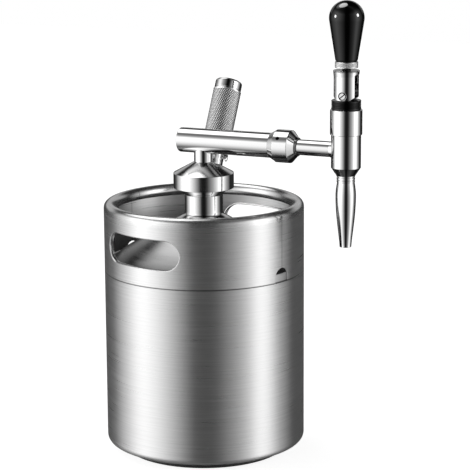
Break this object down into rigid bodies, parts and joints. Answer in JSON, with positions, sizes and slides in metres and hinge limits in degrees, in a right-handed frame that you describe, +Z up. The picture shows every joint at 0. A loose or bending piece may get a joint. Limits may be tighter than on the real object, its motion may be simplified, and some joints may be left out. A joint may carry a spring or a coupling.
{
  "type": "mini keg with tap",
  "caption": "Steel mini keg with a rolled collar, screw cap head, side arm, stout faucet with cam lever, and a leaning gas charger holder.",
  "frame": {"origin": "centre of the foot ring's underside, under the keg's axis", "axes": "+Z up along the keg's axis, +X along the arm towards the faucet"},
  "size_m": [0.2344, 0.175, 0.4005],
  "materials": {
    "brushed_steel": "circumferentially brushed stainless",
    "polished_steel": "polished stainless",
    "plain_steel": "turned stainless",
    "dark_steel": "threaded, dark",
    "knurled_steel": "diamond knurled, matt",
    "plated_steel": "zinc plated",
    "brass": "turned",
    "black_rubber": "moulded, matt",
    "black_gloss": "glossy phenolic",
    "black_plastic": "satin, finely ridged",
    "white_plastic": "satin"
  },
  "bodies": {
    "keg": {"tank_shell": "brushed_steel", "tank_top": "brushed_steel", "neck_spud": "brushed_steel", "collar": "brushed_steel", "base_ring": "black_rubber"},
    "seal": {"cap_gasket": "black_rubber"},
    "head": {"cap": "polished_steel", "riser": "polished_steel", "arm_tube": "polished_steel", "coupling_nut": "polished_steel", "shank_seal": "white_plastic", "shank": "polished_steel", "shank_flange": "white_plastic", "faucet_body": "polished_steel", "bonnet": "polished_steel", "friction_ring": "black_plastic", "stem_guide": "white_plastic", "stem_seal": "white_plastic", "restrictor_disc": "plain_steel", "nozzle": "polished_steel", "nozzle_seal": "black_rubber", "dip_tube": "plain_steel", "tube_seal": "black_rubber", "gas_port": "polished_steel", "piercing_pin": "plain_steel", "inlet_seal": "black_rubber", "relief_body": "polished_steel"},
    "stem": {"stem": "plain_steel", "seat_seal": "black_rubber"},
    "lever": {"lever": "polished_steel", "pivot_screw": "plain_steel", "lever_stud": "dark_steel", "lock_nut": "knurled_steel", "handle": "black_gloss", "handle_insert": "brass"},
    "cartridge": {"gas_cartridge": "plated_steel"},
    "holder": {"holder_sleeve": "knurled_steel", "holder_cap": "polished_steel", "holder_pad": "black_rubber"},
    "relief_plunger": {"relief_pin": "plain_steel", "relief_spring": "plain_steel"},
    "ring": {"pull_ring": "plain_steel"}
  },
  "joints": [
    {"name": "head_lift", "type": "slide", "parent": "keg", "child": "seal", "axis": [0, 0, 1], "range_m": [0, 0.23]},
    {"name": "head_turn", "type": "hinge", "parent": "seal", "child": "head", "pos_m": [0, 0, 0.24], "axis": [0, 0, 1], "continuous": true},
    {"name": "stem_lift", "type": "slide", "parent": "head", "child": "stem", "axis": [0, 0, 1], "range_m": [0, 0.0036]},
    {"name": "lever_pull", "type": "hinge", "parent": "stem", "child": "lever", "pos_m": [0.1321, 0, 0.3212], "axis": [0, 1, 0], "range_deg": [0, 40]},
    {"name": "holder_travel", "type": "slide", "parent": "head", "child": "cartridge", "axis": [0.0306, 0.4373, 0.8988], "range_m": [0, 0.0075]},
    {"name": "holder_turn", "type": "hinge", "parent": "cartridge", "child": "holder", "pos_m": [0.00232, 0.03325, 0.28812], "axis": [0.0306, 0.4373, 0.8988], "range_deg": [0, 1800]},
    {"name": "relief_pull", "type": "slide", "parent": "head", "child": "relief_plunger", "axis": [0.9976, -0.0698, 0], "range_m": [0, 0.0009], "stiffness_N_per_m": 600, "springref_m": -0.003},
    {"name": "ring_swing", "type": "hinge", "parent": "relief_plunger", "child": "ring", "pos_m": [0.014, 0.01811, 0.25882], "axis": [-0.0627, -0.8966, 0.4384], "range_deg": [-20, 80]}
  ],
  "couplings": [
    {"joint": "stem_lift", "follows": "lever_pull", "m_per_rad": 0.0043},
    {"joint": "holder_turn", "follows": "holder_travel", "rad_per_m": 4188.8}
  ]
}
